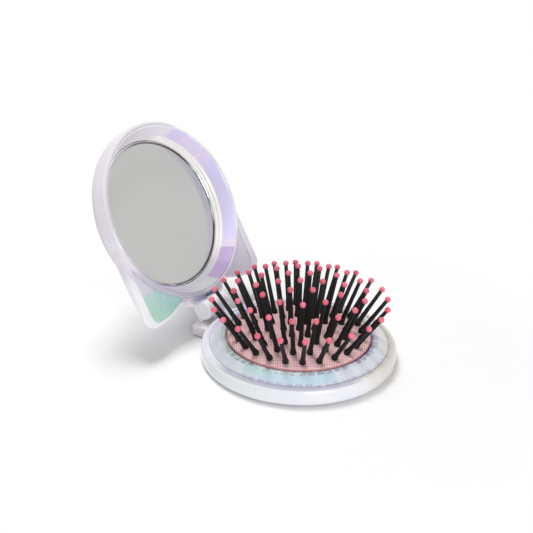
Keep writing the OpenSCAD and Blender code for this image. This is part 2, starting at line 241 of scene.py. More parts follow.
class Recipe(Tree):
    """The nodes of one material, on Object coordinates in millimetres."""

    def __init__(self, name: str, closed_lid: bool = False) -> None:
        """Starts an empty material.

        Args:
            name: the material's name.
            closed_lid: True reads places as on the closed lid, for pieces that show it open.
        """
        self.material = bpy.data.materials.new(name)
        self.material.use_nodes = True
        super().__init__(self.material.node_tree)
        back = HINGE.swing().inverted() if closed_lid else Matrix.Identity(4)
        self.place = self.node("ShaderNodeMapping", inputs={
            "Vector": self.node("ShaderNodeTexCoord", output="Object"), "Scale": (1 / MM,) * 3,
            "Rotation": tuple(back.to_euler()), "Location": tuple(back.to_translation())})
        self.x, self.y, self.z = (
            self.node("ShaderNodeSeparateXYZ", inputs={0: self.place}, output=axis)
            for axis in "XYZ")
        self.radius = (self.x * self.x + self.y * self.y).math("SQRT")

    def mix(self, factor: Signal | float, first: Any, second: Any) -> Signal:
        """Mixes two colours.

        Args:
            factor: how much of the second shows.
            first: a Signal or a screen colour.
            second: a Signal or a screen colour.

        Returns:
            The mixed colour.
        """
        first, second = (c if isinstance(c, Signal) else tone(c) for c in (first, second))
        return self.node("ShaderNodeMix", {"data_type": "RGBA"},
                         {0: factor, 6: first, 7: second}, output=2)

    def clouds(self, size: float, seed: float = 0.0, detail: float = 2.0) -> Signal:
        """Soft noise.

        Args:
            size: how wide its patches are, in millimetres.
            seed: moves the pattern, so that no two are alike.
            detail: how many finer layers it has.

        Returns:
            The noise, about 0.5 in the middle.
        """
        moved = self.node("ShaderNodeVectorMath", {"operation": "ADD"},
                          {0: self.place, 1: (seed * 37.0, seed * 17.0, seed * 71.0)})
        return self.node("ShaderNodeTexNoise",
                         inputs={"Vector": moved, "Scale": 1 / size, "Detail": detail})

    def around(self, middle_deg: float) -> Signal:
        """Cosine of the angle about Z between a place and a direction, without a seam."""
        turn, apart = math.radians(middle_deg), 0.001
        return (self.x * math.cos(turn) + self.y * math.sin(turn)) / (self.radius + apart)

    def bump(self, height: Signal, millimetres: float, strength: float = 1.0) -> Signal:
        """Normal of a surface that has this height on it."""
        return self.node("ShaderNodeBump", inputs={
            "Height": height, "Distance": millimetres * MM, "Strength": strength})

    def shown(self, shader: Signal) -> bpy.types.Material:
        """Ends the material with a shader, and returns it."""
        self.end("ShaderNodeOutputMaterial", shader)
        return self.material

    def surface(self, inputs: dict[str, Any]) -> bpy.types.Material:
        """Ends the material with a Principled shader.

        Args:
            inputs: values or signals of the shader's sockets.

        Returns:
            The finished material.
        """
        return self.shown(self.node("ShaderNodeBsdfPrincipled", inputs=inputs))


# Finishes

@dataclass(frozen=True)
class Sector:
    """A patch of colour on a ring: between two angles about Z and two distances from it.

    Angles run from +X towards +Y. soft_deg and soft are how far its ends and its edges fade.
    """

    start_deg: float
    end_deg: float
    colour: Rgb
    strength: float = 1.0
    soft_deg: float = 2.0
    inner: float = 0.0
    outer: float = 99.0
    soft: float = 0.25

    def mask(self, recipe: Recipe) -> Signal:
        """Works out how much of the patch shows at each place.

        Args:
            recipe: the material that it is part of.

        Returns:
            Its share, 0 to 1.
        """
        half = math.radians(self.end_deg - self.start_deg) / 2
        edge = math.radians(self.soft_deg)
        side = recipe.around((self.start_deg + self.end_deg) / 2)
        turned = side.rise(math.cos(min(half + edge, math.pi)),
                           math.cos(max(half - edge, 0.0)))
        return turned * recipe.radius.band(self.inner, self.outer, self.soft) * self.strength


@dataclass(frozen=True)
class Dashes:
    """A row of short bright marks round a ring, as the photograph shows them in clear plastic.

    count is how many would go all round, and share is how much of the way each takes up.
    """

    count: int
    inner: float
    outer: float
    start_deg: float
    end_deg: float
    colour: Rgb
    between: Rgb
    strength: float = 0.8
    share: float = 0.1
    fade_deg: float = 6.0
    fade: float = 0.12

    def over(self, r: Recipe, colour: Signal) -> Signal:
        """Lays the marks over a colour, with ragged gaps in the row.

        Args:
            r: the material that they are part of.
            colour: the colour under them.

        Returns:
            The colour with the marks on it.
        """
        turns = r.y.math("ARCTAN2", r.x) * self.count
        mark = turns.math("COSINE").rise(1 - 2 * self.share - 0.1, 1 - self.share)
        ring = Sector(self.start_deg, self.end_deg, self.colour, self.strength, self.fade_deg,
                      self.inner, self.outer, self.fade)
        ragged = ring.mask(r) * r.clouds(3.0, self.count).rise(0.35, 0.5)
        return r.mix(ragged, colour, r.mix(mark, self.between, self.colour))


@dataclass(frozen=True)
class Pearl:
    """Glossy pearl plastic over a film that turns lilac, aqua and pink in patches."""

    name: str
    colour: Rgb = (236, 235, 240)
    lilac: Rgb = (216, 208, 236)
    aqua: Rgb = (205, 226, 229)
    blush: Rgb = (236, 224, 226)
    wash: float = 0.5
    cell: float = 22.0
    grain: float = 0.9
    grain_depth: float = 0.004
    roughness: float = 0.22
    coat: float = 0.6
    closed_lid: bool = False
    sectors: tuple[Sector, ...] = ()
    dashes: tuple[Dashes, ...] = ()

    def material(self) -> bpy.types.Material:
        """Builds the material.

        Returns:
            The finished material.
        """
        r = Recipe(self.name, self.closed_lid)
        colour = r.mix(r.clouds(self.cell, 1).rise(0.45, 0.62) * self.wash,
                       self.colour, self.lilac)
        colour = r.mix(r.clouds(self.cell, 2).rise(0.5, 0.64) * self.wash, colour, self.aqua)
        colour = r.mix(r.clouds(self.cell * 0.8, 3).rise(0.5, 0.66) * self.wash,
                       colour, self.blush)
        for sector in self.sectors:
            colour = r.mix(sector.mask(r), colour, sector.colour)
        for row in self.dashes:
            colour = row.over(r, colour)
        return r.surface({
            "Base Color": colour, "Roughness": self.roughness + 0.06 * r.clouds(6.0, 6),
            "Coat Weight": self.coat, "Coat Roughness": 0.04,
            "Normal": r.bump(r.clouds(self.grain, 5, 3.0), self.grain_depth)})


@dataclass(frozen=True)
class EarFilm:
    """Coloured film under the clear face of an ear.

    It changes tint between two distances from the middle of the lid. It is pale on the hinge's far
    side, across a soft line in Y, and streaked in a band of Y.
    """

    name: str
    tip: Rgb
    near: Rgb
    pale: Rgb
    streak: Rgb
    streaks: float = 0.7
    tint_from: float = 36.5
    tint_to: float = 44.0
    pale_to: tuple[float, float] = (24.0, 27.5)
    streaked: tuple[float, float] = (24.5, 31.0)

    def material(self) -> bpy.types.Material:
        """Builds the material.

        Returns:
            The finished material.
        """
        r = Recipe(self.name, closed_lid=True)
        colour = r.mix(r.radius.rise(self.tint_from, self.tint_to), self.near, self.tip)
        edge = r.y + 4.0 * r.clouds(5.0, 1, 3.0)
        colour = r.mix(edge.rise(*self.pale_to), self.pale, colour)
        drawn = r.node("ShaderNodeVectorMath", {"operation": "MULTIPLY"},
                       {0: r.place, 1: (1.0, 0.16, 0.3)})
        streak = r.node("ShaderNodeTexNoise",
                        inputs={"Vector": drawn, "Scale": 0.75, "Detail": 2.0})
        shown = streak.rise(0.52, 0.6) * r.y.band(*self.streaked, 1.6) * self.streaks
        colour = r.mix(shown, colour, self.streak)
        return r.surface({
            "Base Color": colour, "Roughness": 0.26 + 0.06 * r.clouds(5.0, 3), "Coat Weight": 0.8,
            "Coat Roughness": 0.04, "Normal": r.bump(r.clouds(0.9, 5, 3.0), 0.004)})


@dataclass(frozen=True)
class Moulded:
    """Plain moulded plastic with a fine grain and slightly worn patches."""

    name: str
    colour: Rgb = (226, 226, 232)
    worn: Rgb = (240, 240, 243)
    roughness: float = 0.38

    def material(self) -> bpy.types.Material:
        """Builds the material.

        Returns:
            The finished material.
        """
        r = Recipe(self.name)
        patch = r.clouds(9.0, 1)
        grain = r.clouds(0.35, 2, 4.0)
        return r.surface({
            "Base Color": r.mix(patch.rise(0.35, 0.7), self.colour, self.worn),
            "Roughness": self.roughness + 0.12 * patch, "Normal": r.bump(grain, 0.02, 0.6)})


@dataclass(frozen=True)
class MeshFabric:
    """Fine net over the rubber cushion: pale threads round rows of small staggered holes."""

    name: str = "woven mesh"
    thread: Rgb = (242, 208, 206)
    hole: Rgb = (196, 138, 144)
    blush: Rgb = (226, 178, 182)
    edge: Rgb = (214, 152, 156)
    across: float = 0.82
    along: float = 1.7
    lie_deg: float = -56.0
    rim: float = 26.15

    def material(self) -> bpy.types.Material:
        """Builds the material.

        Returns:
            The finished material.
        """
        r = Recipe(self.name)
        lie = math.radians(self.lie_deg)
        weft = (r.x * math.cos(lie) + r.y * math.sin(lie)) * (math.pi / self.across)
        warp = (r.y * math.cos(lie) - r.x * math.sin(lie)) * (math.pi / self.along)
        hole = (weft.math("SINE") * warp.math("SINE")).math("ABSOLUTE")
        rows = 0.5 + 0.5 * (warp * 2).math("COSINE")
        weave = 1 - hole.rise(0.3, 0.95)
        colour = r.mix(weave - 0.25 * rows, self.hole, self.thread)
        colour = r.mix(r.clouds(7.0, 1).rise(0.35, 0.7) * 0.2, colour, self.blush)
        colour = r.mix(r.radius.rise(self.rim - 0.05, self.rim + 0.15), colour, self.edge)
        return r.surface({
            "Base Color": colour, "Roughness": 0.72 - 0.12 * weave, "Sheen Weight": 0.25,
            "Sheen Roughness": 0.4, "Normal": r.bump(weave, 0.08, 0.7)})


@dataclass(frozen=True)
class Nylon:
    """Black nylon of the pins, with a faint grain and paler, rubbed tips."""

    name: str = "pin nylon"
    colour: Rgb = (8, 7, 8)
    rubbed: Rgb = (22, 20, 22)
    rub_from: float = 14.0
    rub_to: float = 28.0

    def material(self) -> bpy.types.Material:
        """Builds the material.

        Returns:
            The finished material.
        """
        r = Recipe(self.name)
        rub = r.z.rise(self.rub_from, self.rub_to) * r.clouds(1.6, 2).rise(0.4, 0.65)
        return r.surface({
            "Base Color": r.mix(rub * 0.7, self.colour, self.rubbed),
            "Roughness": 0.42 + 0.14 * r.clouds(2.0, 1), "Specular IOR Level": 0.35,
            "Normal": r.bump(r.clouds(0.25, 3, 3.0), 0.02, 0.5)})


@dataclass(frozen=True)
class BallResin:
    """Coral pink balls, each a touch lighter or darker than the next."""

    name: str = "ball resin"
    colour: Rgb = (226, 100, 124)
    pale: Rgb = (236, 122, 142)
    deep: Rgb = (200, 80, 104)

    def material(self) -> bpy.types.Material:
        """Builds the material.

        Returns:
            The finished material.
        """
        r = Recipe(self.name)
        colour = r.mix(r.clouds(9.0, 1).rise(0.35, 0.65), self.colour, self.pale)
        colour = r.mix(r.clouds(5.0, 2).rise(0.52, 0.7) * 0.7, colour, self.deep)
        return r.surface({
            "Base Color": colour, "Roughness": 0.26 + 0.1 * r.clouds(1.2, 4),
            "Subsurface Weight": 0.15, "Subsurface Radius": (0.0012, 0.0004, 0.0004),
            "Normal": r.bump(r.clouds(0.5, 3), 0.01)})


@dataclass(frozen=True)
class Metal:
    """Bright metal, tarnished a little in patches."""

    name: str
    colour: Rgb = (222, 220, 218)
    dark: Rgb = (118, 116, 120)
    dark_share: float = 0.3
    roughness: float = 0.08
    closed_lid: bool = False
    sectors: tuple[Sector, ...] = ()

    def material(self) -> bpy.types.Material:
        """Builds the material.

        Returns:
            The finished material.
        """
        r = Recipe(self.name, self.closed_lid)
        colour = r.mix(r.clouds(5.0, 1).rise(0.45, 0.7) * self.dark_share,
                       self.colour, self.dark)
        for sector in self.sectors:
            colour = r.mix(sector.mask(r), colour, sector.colour)
        return r.surface({"Base Color": colour, "Metallic": 1.0,
                          "Roughness": self.roughness + 0.05 * r.clouds(3.0, 2)})


@dataclass(frozen=True)
class Silvering:
    """Mirror silver under glass: an even grey sheet of painted reflection, faintly dusty, darker at
    its ground edge, which is partly painted shade.
    """

    name: str = "mirror silver"
    colour: Rgb = (196, 196, 194)
    dusty: Rgb = (199, 199, 197)
    rim: Rgb = (150, 150, 150)
    radius: float = 27.9
    rim_width: float = 0.35

    def material(self) -> bpy.types.Material:
        """Builds the material.

        Returns:
            The finished material.
        """
        r = Recipe(self.name, closed_lid=True)
        # The grey sheet is painted reflection of grey surroundings
        colour = r.mix(r.clouds(18.0, 1).rise(0.3, 0.7) * 0.5, self.colour, self.dusty)
        # Darker ring at the ground edge, partly painted shade of the gap at the ring
        ground = r.radius.rise(self.radius - self.rim_width, self.radius)
        return r.surface({
            "Base Color": r.mix(ground, colour, self.rim), "Metallic": 0.45,
            "Roughness": 0.02 + 0.02 * r.clouds(4.0, 2)})


# The finishes of this brush, with their patches where the photograph shows them

SHELL_PEARL = Pearl("base pearl", colour=(238, 239, 242), wash=0.45, sectors=(
    Sector(160, 200, (234, 240, 234), 0.6, 14),  # painted reflection, a little mint at the side of the hinge
    Sector(200, 262, (226, 230, 236), 0.5, 20),  # painted reflection, cool and a little darker at the front
    Sector(262, 350, (212, 205, 196), 0.8, 18),  # painted shade, warm grey on the side away from the light and the hinge
    Sector(70, 110, (250, 244, 249), 0.9, 3, 36.1, 60.0, 0.3),  # painted light, lifting the shade on the bracket and the middle knuckle
    Sector(160, 248, (168, 164, 190), 0.75, 8, 32.0, 35.35, 0.3),  # line inside the rim
    Sector(248, 340, (194, 187, 180), 0.65, 10, 32.0, 34.9, 0.5)))  # the same, in grey

BEZEL_PEARL = Pearl("bezel pearl", colour=(214, 218, 226), wash=0.3, sectors=(
    Sector(120, 186, (208, 214, 222), 0.8, 6), Sector(238, 290, (210, 214, 222), 0.8, 4),
    # Sector 290 to 350 is painted shade, warm grey on the side away from the light
    Sector(290, 350, (212, 208, 206), 0.8, 10), Sector(-10, 100, (214, 206, 228), 0.7, 14),
    Sector(186, 238, (190, 216, 228), 0.95, 1.0, 28.9, 32.6, 0.2),  # painted reflection, a crisp aqua patch
    Sector(172, 192, (186, 216, 214), 0.8, 2.0, 28.6, 31.6, 0.3),  # painted reflection, a mint patch
    Sector(262, 312, (168, 170, 204), 0.8, 4, 20.0, 28.7, 0.15),  # painted reflection of the shaded pad and pins, three darker tints round the crest
    Sector(10, 110, (190, 176, 218), 0.8, 6, 20.0, 28.8, 0.15),
    Sector(110, 160, (172, 190, 176), 0.7, 5, 20.0, 28.8, 0.15)),
    dashes=(Dashes(60, 32.2, 33.2, 176, 290, (228, 222, 228), (180, 184, 214), 0.7),
            # These two rows are painted reflection of the pins and the pink cushion over the darker
            # crest
            Dashes(56, 20.0, 29.5, 150, 222, (228, 208, 210), (142, 168, 168), 0.9, 0.14),
            Dashes(56, 20.0, 29.3, 222, 300, (226, 212, 208), (154, 164, 194), 0.85, 0.14)))

LID_PEARL = Pearl("lid pearl", colour=(228, 225, 233), closed_lid=True, wash=0.3, sectors=(
    Sector(-70, 30, (250, 250, 249), 0.85, 12, 32.0, 34.6, 0.2),  # painted highlight along part of the rim
    # The next three are painted shade, greyer arcs of the rim
    Sector(-30, 18, (216, 215, 215), 0.8, 8, 32.0, 34.6, 0.2),
    Sector(224, 298, (208, 206, 212), 0.7, 8, 32.0, 34.6, 0.2),
    Sector(140, 224, (206, 204, 208), 0.8, 14, 32.0, 34.2, 0.15),
    Sector(140, 262, (240, 230, 240), 0.6, 14, 34.2, 36.0, 0.15),  # wall
    Sector(98, 152, (188, 184, 198), 0.8, 8, 32.0, 34.5, 0.15),  # painted shade on the rim in front of the mint ear
    Sector(106, 154, (248, 249, 251), 0.85, 4, 36.5, 60.0, 0.6),  # painted highlight along the border of that ear
    Sector(70, 110, (250, 249, 251), 0.9, 3, 37.3, 60.0, 0.3),  # painted light, lifting the shade on the knuckles
    Sector(82, 102, (160, 162, 206), 0.8, 3, 34.7, 36.4, 0.25)))  # blue patch on the neck

LINER_FILM = Pearl(
    "liner film", colour=(222, 218, 229), lilac=(216, 206, 234), aqua=(216, 224, 229),
    wash=0.35, closed_lid=True, sectors=(
        Sector(150, 222, (203, 201, 208), 0.85, 8, 30.3),
        Sector(102, 152, (184, 179, 194), 0.85, 5, 30.3),
        # Painted light, lifting the shade on the part that faces down when the lid stands open
        Sector(226, 318, (243, 239, 249), 0.9, 10, 30.0),
        Sector(300, 401, (222, 215, 252), 0.95, 2.5, 30.3),  # painted reflection, a lilac arc away from the hinge; the sectors after it, to the grey one, belong to it
        Sector(313, 340, (238, 224, 250), 0.7, 3, 30.6),
        Sector(401, 407, (230, 218, 238), 0.9, 0.8, 30.3),
        Sector(407, 438, (192, 168, 212), 0.95, 1.0, 30.3),  # purple patch of that painted reflection
        Sector(422, 439, (166, 140, 176), 0.6, 5, 30.3),
        Sector(438, 462, (190, 194, 196), 0.85, 1.5, 30.0),
        Sector(150, 420, (226, 223, 230), 0.8, 20, 28.0, 30.3, 0.08),  # beads
        Sector(164, 212, (190, 188, 192), 0.75, 8, 28.9, 31.2, 0.3),
        Sector(100, 150, (180, 168, 222), 0.7, 6, 29.4, 30.4, 0.08),
        Sector(60, 110, (186, 184, 190), 0.8, 10, 28.0, 30.3, 0.08),
        Sector(290, 405, (252, 251, 247), 0.95, 8, 28.0, 30.4, 0.08),
        Sector(335, 405, (232, 214, 204), 0.5, 8, 29.52, 29.72, 0.06)),  # painted highlight, a cream line along the crease between the beads
    # Streaks within the lilac painted reflection
    dashes=(Dashes(38, 30.4, 31.6, 322, 342, (248, 242, 252), (230, 222, 248), 0.6),))

RING_CHROME = Metal("ring chrome", closed_lid=True, sectors=(
    # Painted reflection: pale where the ring would mirror the liner, dark where it would mirror the
    # shaded gap
    Sector(104, 262, (220, 217, 226), 0.9, 12),
    Sector(262, 340, (104, 100, 106), 0.9, 8, 20.0, 28.3, 0.1),  # painted reflection, dark inner edges
    Sector(334, 372, (214, 238, 244), 0.9, 5),  # aqua glint
    Sector(340, 372, (120, 130, 134), 0.9, 4, 20.0, 28.12, 0.06),
    Sector(24, 76, (70, 69, 72), 0.95, 6, 20.0, 28.4, 0.1),
    Sector(76, 106, (96, 94, 100), 0.9, 6, 20.0, 28.35, 0.1)))

MINT_FILM = EarFilm("mint ear film", tip=(186, 222, 206), near=(176, 222, 216),
                    pale=(224, 221, 231), streak=(228, 224, 232))
LILAC_FILM = EarFilm("lilac ear film", tip=(208, 200, 214), near=(212, 206, 220),
                     pale=(216, 212, 222), streak=(224, 218, 228), streaks=0.3)

COVER_PLASTIC = Moulded("cover plastic")
PLATE_PLASTIC = Moulded("plate plastic", colour=(232, 232, 236))
CAP_PLASTIC = Moulded("cap plastic", (232, 231, 238), (240, 240, 244), 0.3)
TAPE_FOAM = Moulded("tape foam", (70, 70, 72), (84, 84, 86), 0.8)
PIN_STEEL = Metal("pin steel", roughness=0.22)


# Meshes

class Blank:
    """A mesh in the making, in millimetres, shaped with bmesh operators."""

    doubles: float = 1e-4

    def __init__(self) -> None:
        """Starts empty."""
        self.bm = bmesh.new()

    def tidy(self) -> "Blank":
        """Merges doubles and turns the faces outwards.

        Returns:
            This blank.
        """
        bmesh.ops.remove_doubles(self.bm, verts=self.bm.verts, dist=self.doubles)
        bmesh.ops.recalc_face_normals(self.bm, faces=self.bm.faces)
        return self

    def turned(self, profile: Sequence[Point], steps: int = 144, closed: bool = True) -> "Blank":
        """Spins a profile about Z.

        Args:
            profile: points as distance from Z and height.
            steps: how many faces there are all round.
            closed: True joins the last point to the first; otherwise both ends lie on Z.

        Returns:
            This blank.
        """
        verts = [self.bm.verts.new((radius, 0, height)) for radius, height in profile]
        following = verts[1:] + verts[:1] if closed else verts[1:]
        edges = [self.bm.edges.new(pair) for pair in zip(verts, following)]
        bmesh.ops.spin(self.bm, geom=verts + edges, cent=(0, 0, 0), axis=(0, 0, 1),
                       dvec=(0, 0, 0), angle=2 * math.pi, steps=steps, use_merge=True)
        return self.tidy()

    def round_ring(self, corner: Point, width: float, segments: int = 4) -> "Blank":
        """Rounds the ring of edges at one corner of a turned profile.

        Args:
            corner: the corner's distance from Z and height.
            width: how far back the rounding reaches.
            segments: how many faces it has across.

        Returns:
            This blank.
        """
        near = 0.02

        def at(v: bmesh.types.BMVert) -> bool:
            """True for a point of that ring."""
            return abs(v.co.xy.length - corner[0]) < near and abs(v.co.z - corner[1]) < near
        return self.bevel([e for e in self.bm.edges if all(map(at, e.verts))], width, segments)

    def bevel(self, edges: list[bmesh.types.BMEdge], width: float, segments: int = 3) -> "Blank":
        """Rounds edges.

        Args:
            edges: the edges.
            width: how far back the rounding reaches.
            segments: how many faces it has across.

        Returns:
            This blank.
        """
        bmesh.ops.bevel(self.bm, geom=edges, offset=width, offset_type="OFFSET",
                        affect="EDGES", segments=segments, profile=0.5, material=-1,
                        clamp_overlap=True)
        return self

    def sharp_edges(self, degrees: float = 30.0) -> list[bmesh.types.BMEdge]:
        """Finds the edges between faces that meet at more than an angle.

        Args:
            degrees: the angle.

        Returns:
            Those edges.
        """
        limit = math.radians(degrees)
        return [e for e in self.bm.edges
                if len(e.link_faces) == 2 and e.calc_face_angle(0.0) > limit]

    def slab(self, outline: Sequence[Point], low: float, high: float) -> "Blank":
        """Extrudes an outline in X and Y from one height to another.

        Args:
            outline: its corners in order.
            low: the lower height.
            high: the upper height.

        Returns:
            This blank.
        """
        face = self.bm.faces.new([self.bm.verts.new((x, y, low)) for x, y in outline])
        grown = bmesh.ops.extrude_face_region(self.bm, geom=[face])["geom"]
        tops = [v for v in grown if isinstance(v, bmesh.types.BMVert)]
        bmesh.ops.translate(self.bm, verts=tops, vec=(0, 0, high - low))
        return self.tidy()

    def bar(self, outline: Sequence[Point], left: float, right: float) -> "Blank":
        """Extrudes an outline in Y and Z along X.

        Args:
            outline: its corners in order.
            left: where it starts along X.
            right: where it ends.

        Returns:
            This blank.
        """
        self.slab(outline, left, right)
        along_x = Matrix(((0, 0, 1), (1, 0, 0), (0, 1, 0))).to_4x4()
        return self.moved(along_x).tidy()

    def rod(self, radius: float, left: float, right: float, segments: int = 72) -> "Blank":
        """Makes a round bar on the hinge axis.

        Args:
            radius: its radius.
            left: where it starts along X.
            right: where it ends.
            segments: how many sides it has.

        Returns:
            This blank.
        """
        middle = Matrix.Translation(((left + right) / 2, HINGE.y, HINGE.z))
        bmesh.ops.create_cone(self.bm, cap_ends=True, segments=segments, radius1=radius,
                              radius2=radius, depth=right - left,
                              matrix=middle @ Matrix.Rotation(math.pi / 2, 4, "Y"))
        return self.tidy()

    def moved(self, matrix: Matrix) -> "Blank":
        """Transforms everything."""
        bmesh.ops.transform(self.bm, matrix=matrix, verts=self.bm.verts)
        return self

    def stamp(self, other: "Blank", matrix: Matrix) -> "Blank":
        """Adds a copy of another blank, placed by a matrix.

        Args:
            other: the blank that is copied.
            matrix: where the copy stands.

        Returns:
            This blank.
        """
        mesh = bpy.data.meshes.new("stamp")
        other.bm.to_mesh(mesh)
        mesh.transform(matrix)
        self.bm.from_mesh(mesh)
        bpy.data.meshes.remove(mesh)
        return self

    def joined(self, tool: "Blank", how: Join) -> "Blank":
        """Fuses another solid to this one, or cuts it away.

        Args:
            tool: the other solid, which stays as it is.
            how: what it does to this one.

        Returns:
            This blank.
        """
        bodies = []
        for blank in (self, tool):
            mesh = bpy.data.meshes.new("blank")
            blank.bm.to_mesh(mesh)
            body = bpy.data.objects.new("blank", mesh)
            bpy.context.scene.collection.objects.link(body)
            bodies.append(body)
        modifier = bodies[0].modifiers.new("join", "BOOLEAN")
        modifier.operation, modifier.solver = how.value, "MANIFOLD"
        modifier.object = bodies[1]
        bpy.context.view_layer.update()
        result = bodies[0].evaluated_get(bpy.context.evaluated_depsgraph_get())
        self.bm.clear()
        self.bm.from_mesh(result.to_mesh())
        result.to_mesh_clear()
        for body in bodies:
            mesh = body.data
            bpy.data.objects.remove(body)
            bpy.data.meshes.remove(mesh)
        return self

    def piece(self, name: str, material: bpy.types.Material, body: Body, slot: Slot,
              nodes: Sequence[str] = (), sharp_deg: float = 38.0) -> bpy.types.Object:
        """Makes the finished object, in metres.

        Args:
            name: the piece's name.
            material: its finish.
            body: the body it rides on.
            slot: not used.
            nodes: the CAD nodes it stands for.
            sharp_deg: faces that meet at more than this keep a crisp edge.

        Returns:
            The object.
        """
        self.moved(Matrix.Scale(MM, 4))
        mesh = bpy.data.meshes.new(name)
        self.bm.to_mesh(mesh)
        self.bm.free()
        mesh.materials.append(material)
        mesh.shade_smooth()
        mesh.set_sharp_from_angle(angle=math.radians(sharp_deg))
        made = bpy.data.objects.new(name, mesh)
        bpy.context.scene.collection.objects.link(made)
        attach(made, body.value)
        if nodes:
            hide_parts(*nodes)
        LOG.info("%s: %d faces, rides on %s", name, len(mesh.polygons), body.value)
        return made


def arc(centre: Point, radius: float, start_deg: float, end_deg: float,
        count: int) -> list[Point]:
    """Follows a circular arc in a plane.

    Args:
        centre: its centre.
        radius: its radius.
        start_deg: where it starts.
        end_deg: where it ends.
        count: how many steps it has.

    Returns:
        Its points, one more than count.
    """
    angles = [math.radians(start_deg + (end_deg - start_deg) * i / count)
              for i in range(count + 1)]
    return [(centre[0] + radius * math.cos(a), centre[1] + radius * math.sin(a))
            for a in angles]


def dress(node: str, material: bpy.types.Material) -> None:
    """Gives a CAD node that stays its finish.

    Args:
        node: its name.
        material: the finish.
    """
    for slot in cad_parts[node].material_slots:
        slot.material = material
    LOG.info("%s: CAD node with its finish", node)


# Sub-assemblies

@dataclass
class Base:
    """Round base: outer wall with a rolled rim, hinge bracket, and the bezel round the cushion.

    inset is how far bracket and web stop short of the face that they would be flush with.
    """

    radius: float = 36.0
    wall: float = 2.0
    foot: float = 0.5
    top: float = 7.1
    rim_round: float = 2.2
    foot_round: float = 1.4
    groove: float = 33.4
    groove_round: float = 0.22
    ledge: float = 6.7
    seat: float = 5.6
    shelf: float = 4.3
    cover_top: float = 1.55
    chamber: float = 28.0
    chamber_wall: float = 1.2
    bezel: float = 33.0
    bezel_play: float = 0.02
    bezel_edge: float = 6.95
    crest_r: float = 28.75
    crest: float = 9.4
    mouth: float = 26.9
    mouth_foot: float = 7.0
    bezel_edge_round: float = 0.4
    crest_round: float = 0.8
    mouth_round: float = 0.85
    hollow: tuple[Point, ...] = ((29.3, 7.15), (31.7, 6.3))
    bracket_half: float = 10.0
    bracket_top: float = 4.6
    bracket_end: float = 41.9
    bracket_edge: float = 0.45
    knuckle_half: float = 2.5
    knuckle_edge: float = 0.3
    web_half: float = 2.3
    web_root: Point = (36.3, 4.0)
    web_inset: float = 0.1
    inset: float = 0.3
    bore_play: float = 0.01

    def rim(self) -> Blank:
        """Turns the outer wall with its rolled rim, and the shelf that the bezel sits on.

        Returns:
            The ring, closed.
        """
        inner = self.radius - self.wall
        bezel = self.bezel + self.bezel_play
        chamber = self.chamber + self.chamber_wall
        ring = Blank().turned([
            (inner, self.foot), (self.radius, self.foot), (self.radius, self.top),
            (self.groove, self.top), (self.groove, self.ledge), (bezel, self.ledge),
            (bezel, self.seat), (self.chamber, self.seat), (self.chamber, self.cover_top),
            (chamber, self.cover_top), (chamber, self.shelf), (inner, self.shelf)])
        ring.round_ring((self.radius, self.top), self.rim_round, 8)
        ring.round_ring((self.radius, self.foot), self.foot_round, 5)
        ring.round_ring((self.groove, self.top), self.groove_round, 3)
        return ring.tidy()

    def bracket(self) -> Blank:
        """Makes the flat bracket behind the wall, rounded where it stands free.

        Returns:
            The bracket, closed.
        """
        half, end = self.bracket_half, self.bracket_end
        root = self.radius - self.wall + self.inset
        bracket = Blank().slab([(-half, root), (half, root), (half, end), (-half, end)],
                               self.foot, self.bracket_top)
        free = [e for e in bracket.sharp_edges() if max(v.co.y for v in e.verts) > end - 1
                or min(v.co.z for v in e.verts) > self.bracket_top - 0.1]
        return bracket.bevel(free, self.bracket_edge).tidy()

    def knuckle(self) -> Blank:
        """Makes the middle knuckle on the web that carries it.

        Returns:
            The knuckle, closed.
        """
        reach = HINGE.barrel_r - self.web_inset
        knuckle = Blank().rod(HINGE.barrel_r, -self.knuckle_half, self.knuckle_half)
        knuckle.bevel(knuckle.sharp_edges(60), self.knuckle_edge).tidy()
        web = Blank().bar([self.web_root, (self.bracket_end - self.inset, self.web_root[1]),
                           (HINGE.y + reach, HINGE.z), (HINGE.y - reach, HINGE.z)],
                          -self.web_half, self.web_half)
        return knuckle.joined(web, Join.FUSE)

    def shell(self) -> None:
        """Builds the outer shell with its bracket and middle knuckle."""
        shell = self.rim()
        shell.joined(self.bracket(), Join.FUSE).joined(self.knuckle(), Join.FUSE).tidy()
        half = self.knuckle_half + HINGE.bore_over
        bore = Blank().rod(HINGE.pin_r + self.bore_play, -half, half, HINGE.bore_sides)
        shell.joined(bore, Join.CUT).tidy()
        shell.piece("base_body", SHELL_PEARL.material(), Body.BASE, Slot.SHELL, ["base_shell"])

    def ring(self) -> None:
        """Builds the sloping bezel, which is hollow below between its two feet."""
        inner_foot, outer_foot = self.hollow
        bezel = Blank().turned([
            (self.bezel, self.seat), (self.bezel, self.bezel_edge), (self.crest_r, self.crest),
            (self.mouth, self.crest), (self.mouth, self.mouth_foot),
            (self.chamber, self.mouth_foot), (self.chamber, self.seat),
            (inner_foot[0], self.seat), inner_foot, outer_foot, (outer_foot[0], self.seat)])
        bezel.round_ring((self.bezel, self.bezel_edge), self.bezel_edge_round, 3)
        bezel.round_ring((self.crest_r, self.crest), self.crest_round, 4)
        bezel.round_ring((self.mouth, self.crest), self.mouth_round, 6)
        bezel.tidy().piece("cushion_bezel", BEZEL_PEARL.material(), Body.BASE, Slot.BEZEL,
                           ["base_bezel"])

    def build(self) -> None:
        """Builds the base and dresses what stays of the CAD."""
        self.shell()
        self.ring()
        dress("base_cover", COVER_PLASTIC.material())
        dress("hinge_pin", PIN_STEEL.material())


